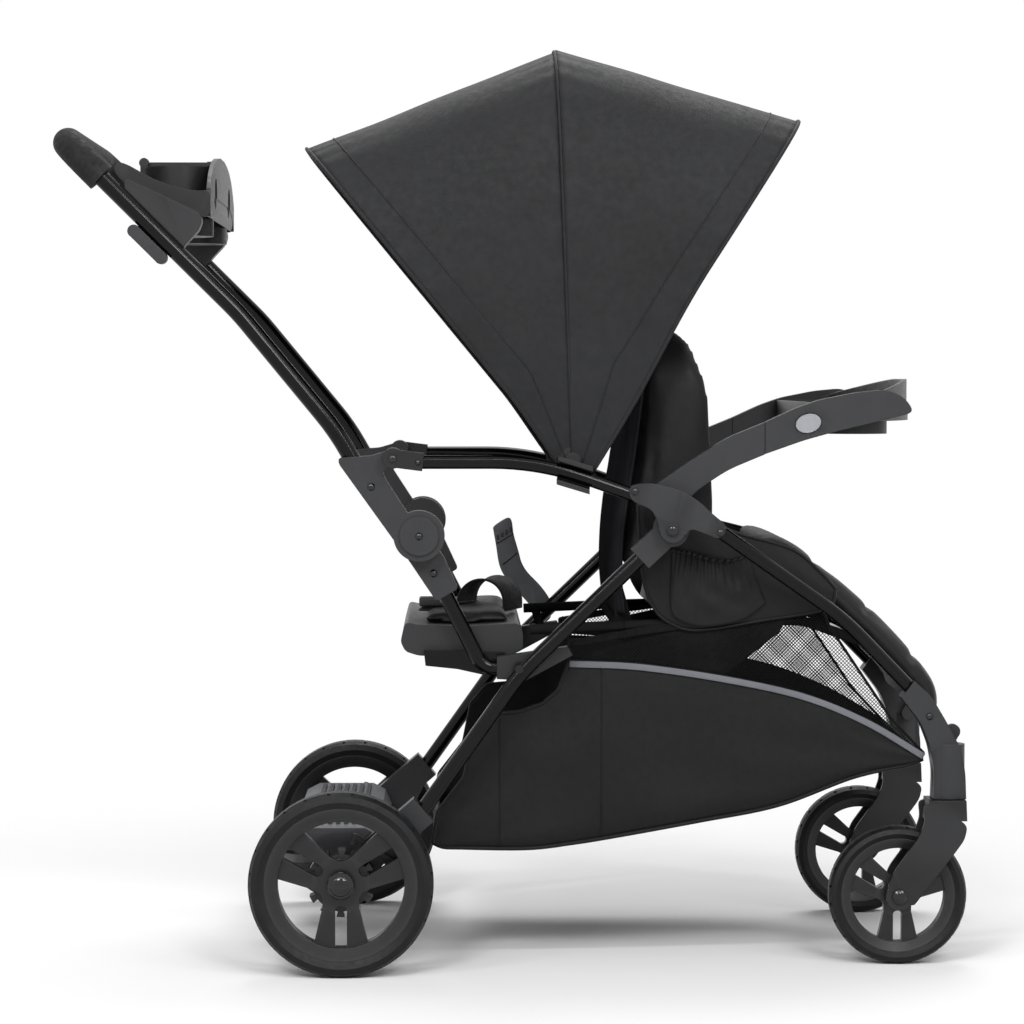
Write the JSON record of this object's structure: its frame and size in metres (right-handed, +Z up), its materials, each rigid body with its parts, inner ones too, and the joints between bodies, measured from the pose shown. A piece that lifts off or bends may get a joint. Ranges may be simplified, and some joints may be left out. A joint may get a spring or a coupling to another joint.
{
  "type": "tandem stroller",
  "caption": "Folding tandem stroller with a front seat, canopy, child tray, rear bench, standing platform, basket and swivel front casters.",
  "frame": {"origin": "on the ground, midway along the length and the width", "axes": "+X to the front wheels, +Y to the stroller's left, +Z up"},
  "size_m": [1.084, 0.608, 1.0949],
  "materials": {
    "black_tube": "gloss",
    "steel": "satin",
    "pins": "satin",
    "casting": "matte",
    "bow": "matte",
    "cloth": "matte",
    "padding": "matte",
    "mesh": "matte",
    "webbing": "matte",
    "foam": "matte",
    "grey_plastic": "matte",
    "light_plastic": "satin",
    "tread_rubber": "matte",
    "tyre": "matte"
  },
  "bodies": {
    "front_frame": {"armrest_tubes": "black_tube", "armrest_ends": "casting", "hub_castings": "casting", "front_legs": "black_tube", "caster_sockets": "casting", "front_cross_tube": "black_tube", "seat_rails": "black_tube", "seat_cushion": "padding", "side_panels": "cloth", "leg_pad": "padding", "basket": "cloth", "basket_mesh": "mesh", "canopy_clips": "casting", "canopy_rear": "cloth", "canopy_bows": "bow"},
    "rear_frame": {"rear_legs": "black_tube", "axle_brackets": "casting", "rear_axle_rod": "steel", "platform": "grey_plastic", "platform_tread": "tread_rubber", "tray_arms": "casting", "leg_pins": "pins"},
    "lower_pusher": {"lower_tubes": "black_tube", "hinge_lower": "casting", "pivot_lugs": "casting", "bench_links": "black_tube", "bench_shell": "casting", "bench_pad": "padding", "bench_belt": "webbing"},
    "handle": {"handle_tube": "black_tube", "grip": "foam", "hinge_upper": "casting", "hinge_pins": "pins", "console": "casting"},
    "console_lid": {"console_lid": "casting"},
    "fold_trigger_right": {"fold_trigger_right": "casting"},
    "fold_trigger_left": {"fold_trigger_left": "casting"},
    "seat_back": {"seat_back_board": "casting", "seat_back_pad": "padding"},
    "canopy_front": {"canopy_front": "cloth", "canopy_front_bow": "bow"},
    "tray": {"tray": "casting"},
    "tray_button_right": {"tray_button_right": "light_plastic"},
    "tray_button_left": {"tray_button_left": "light_plastic"},
    "caster_right": {"caster_fork_right": "casting"},
    "caster_left": {"caster_fork_left": "casting"},
    "front_wheel_right": {"front_rim_right": "casting", "front_tyre_right": "tyre"},
    "front_wheel_left": {"front_rim_left": "casting", "front_tyre_left": "tyre"},
    "rear_wheel_right": {"rear_rim_right": "casting", "rear_tyre_right": "tyre"},
    "rear_wheel_left": {"rear_rim_left": "casting", "rear_tyre_left": "tyre"},
    "brake_pedal": {"brake_pedal": "casting"},
    "storage_latch": {"storage_latch": "grey_plastic"},
    "swivel_lock_right": {"swivel_lock_right": "light_plastic"},
    "swivel_lock_left": {"swivel_lock_left": "light_plastic"}
  },
  "joints": [
    {"name": "frame_fold", "type": "hinge", "parent": "lower_pusher", "child": "handle", "pos_m": [-0.111, 0, 0.512], "axis": [0, 1, 0], "range_deg": [0, 146.23], "deforming": ["canopy_rear", "canopy_bows", "canopy_front", "canopy_front_bow", "seat_back_board", "seat_back_pad"]},
    {"name": "rear_leg_fold", "type": "hinge", "parent": "front_frame", "child": "rear_frame", "pos_m": [0.185, 0, 0.52], "axis": [0, 1, 0], "range_deg": [0, 48]},
    {"name": "lower_pusher_fold", "type": "hinge", "parent": "rear_frame", "child": "lower_pusher", "pos_m": [0.006, 0, 0.356], "axis": [0, 1, 0], "range_deg": [-78.81, 0]},
    {"name": "console_lid_hinge", "type": "hinge", "parent": "handle", "child": "console_lid", "pos_m": [-0.446, 0, 0.958], "axis": [0, 1, 0], "range_deg": [-105, 0]},
    {"name": "fold_trigger_right_pull", "type": "slide", "parent": "handle", "child": "fold_trigger_right", "axis": [-0.7102, 0, 0.704], "range_m": [0, 0.008], "stiffness_N_per_m": 400},
    {"name": "fold_trigger_left_pull", "type": "slide", "parent": "handle", "child": "fold_trigger_left", "axis": [-0.7102, 0, 0.704], "range_m": [0, 0.008], "stiffness_N_per_m": 400},
    {"name": "seat_recline", "type": "hinge", "parent": "front_frame", "child": "seat_back", "pos_m": [0.132, 0, 0.403], "axis": [0, 1, 0], "range_deg": [-33, 0]},
    {"name": "canopy_close", "type": "hinge", "parent": "front_frame", "child": "canopy_front", "pos_m": [0.069, 0, 0.601], "axis": [0, 1, 0], "range_deg": [-36, 0]},
    {"name": "tray_pull_off", "type": "slide", "parent": "rear_frame", "child": "tray", "axis": [-0.9659, 0, -0.2588], "range_m": [-0.08, 0]},
    {"name": "tray_button_right_press", "type": "slide", "parent": "tray", "child": "tray_button_right", "axis": [0, 1, 0], "range_m": [0, 0.002], "stiffness_N_per_m": 600},
    {"name": "tray_button_left_press", "type": "slide", "parent": "tray", "child": "tray_button_left", "axis": [0, -1, 0], "range_m": [0, 0.002], "stiffness_N_per_m": 600},
    {"name": "caster_right_swivel", "type": "hinge", "parent": "front_frame", "child": "caster_right", "pos_m": [0.518, -0.197, 0.197], "axis": [0, 0, 1], "continuous": true},
    {"name": "caster_left_swivel", "type": "hinge", "parent": "front_frame", "child": "caster_left", "pos_m": [0.518, 0.197, 0.197], "axis": [0, 0, 1], "continuous": true},
    {"name": "front_wheel_right_roll", "type": "hinge", "parent": "caster_right", "child": "front_wheel_right", "pos_m": [0.458, -0.197, 0.082], "axis": [0, 1, 0], "continuous": true},
    {"name": "front_wheel_left_roll", "type": "hinge", "parent": "caster_left", "child": "front_wheel_left", "pos_m": [0.458, 0.197, 0.082], "axis": [0, 1, 0], "continuous": true},
    {"name": "rear_wheel_right_roll", "type": "hinge", "parent": "rear_frame", "child": "rear_wheel_right", "pos_m": [-0.202, -0.281, 0.108], "axis": [0, 1, 0], "continuous": true},
    {"name": "rear_wheel_left_roll", "type": "hinge", "parent": "rear_frame", "child": "rear_wheel_left", "pos_m": [-0.202, 0.281, 0.108], "axis": [0, 1, 0], "continuous": true},
    {"name": "brake_press", "type": "hinge", "parent": "rear_frame", "child": "brake_pedal", "pos_m": [-0.14, 0, 0.128], "axis": [0, 1, 0], "range_deg": [-7, 0]},
    {"name": "storage_latch_swing", "type": "hinge", "parent": "rear_frame", "child": "storage_latch", "pos_m": [0.046, 0.248, 0.3866], "axis": [0, 1, 0], "range_deg": [-25, 0]},
    {"name": "swivel_lock_right_turn", "type": "hinge", "parent": "front_frame", "child": "swivel_lock_right", "pos_m": [0.52, -0.174, 0.262], "axis": [0, 1, 0], "range_deg": [0, 40]},
    {"name": "swivel_lock_left_turn", "type": "hinge", "parent": "front_frame", "child": "swivel_lock_left", "pos_m": [0.52, 0.174, 0.262], "axis": [0, 1, 0], "range_deg": [0, 40]}
  ],
  "couplings": [
    {"joint": "rear_leg_fold", "follows": "frame_fold", "ratio": 0.32482},
    {"joint": "lower_pusher_fold", "follows": "frame_fold", "ratio": -0.53551}
  ]
}
